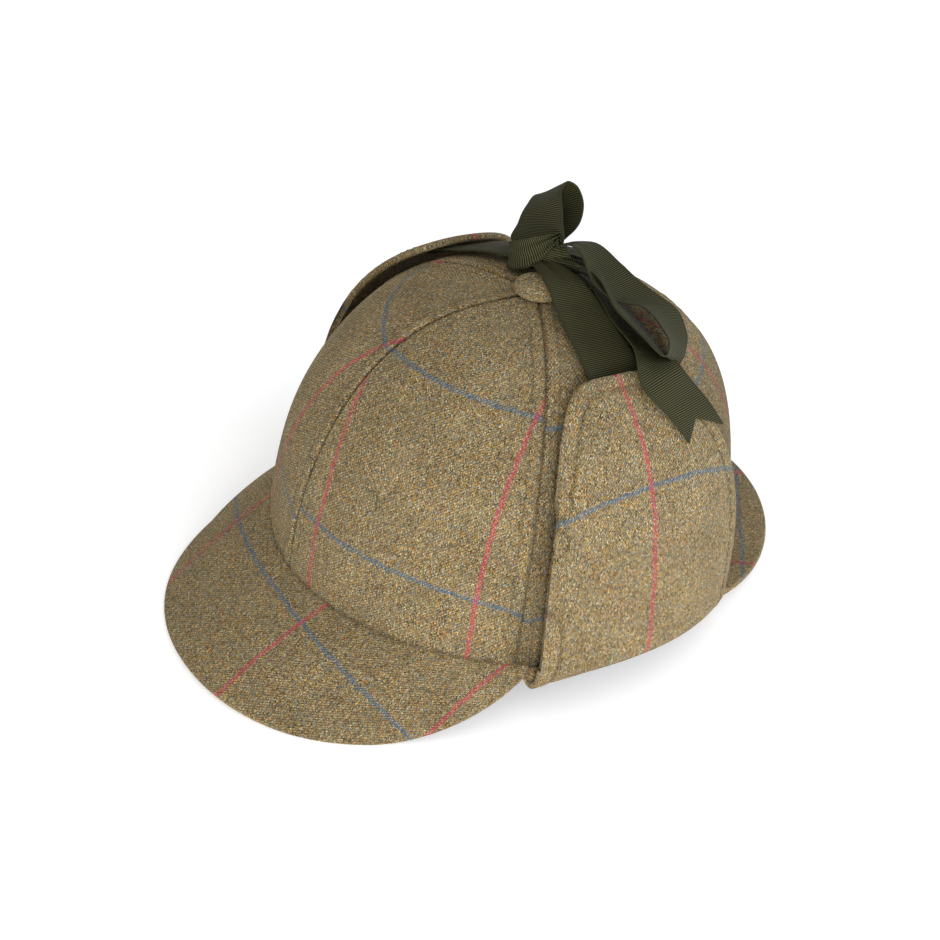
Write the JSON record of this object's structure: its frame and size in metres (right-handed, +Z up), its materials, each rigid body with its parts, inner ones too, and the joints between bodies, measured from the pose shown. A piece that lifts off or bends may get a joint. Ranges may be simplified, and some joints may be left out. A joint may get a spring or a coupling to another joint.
{
  "type": "deerstalker hat",
  "caption": "Tweed deerstalker hat with a panelled crown and covered button, front and back peaks, and ear flaps folded up and tied over the top with a dark ribbon bow.",
  "frame": {"origin": "on the surface that the hat rests on, below the middle of the hat's box", "axes": "+Z up, the front peak towards -Y, the back peak towards +Y, the wearer's left ear flap towards +X"},
  "size_m": [0.215, 0.2844, 0.1601],
  "materials": {
    "tweed": "green-brown wool tweed with fine flecks and a large overcheck in crimson and petrol blue",
    "ribbon": "dark olive ribbed grosgrain ribbon"
  },
  "bodies": {
    "root": {"crown_panel_front_left": "tweed", "crown_panel_front_right": "tweed", "crown_panel_side_left": "tweed", "crown_panel_side_right": "tweed", "crown_panel_back_left": "tweed", "crown_panel_back_right": "tweed", "top_button": "tweed", "front_peak": "tweed", "back_peak": "tweed", "left_ear_flap": "tweed", "right_ear_flap": "tweed", "ribbon_left": "ribbon", "ribbon_right": "ribbon", "bow_knot": "ribbon", "bow_loop_upper": "ribbon", "bow_loop_side": "ribbon", "ribbon_tail_front": "ribbon", "ribbon_tail_back": "ribbon"}
  },
  "joints": []
}
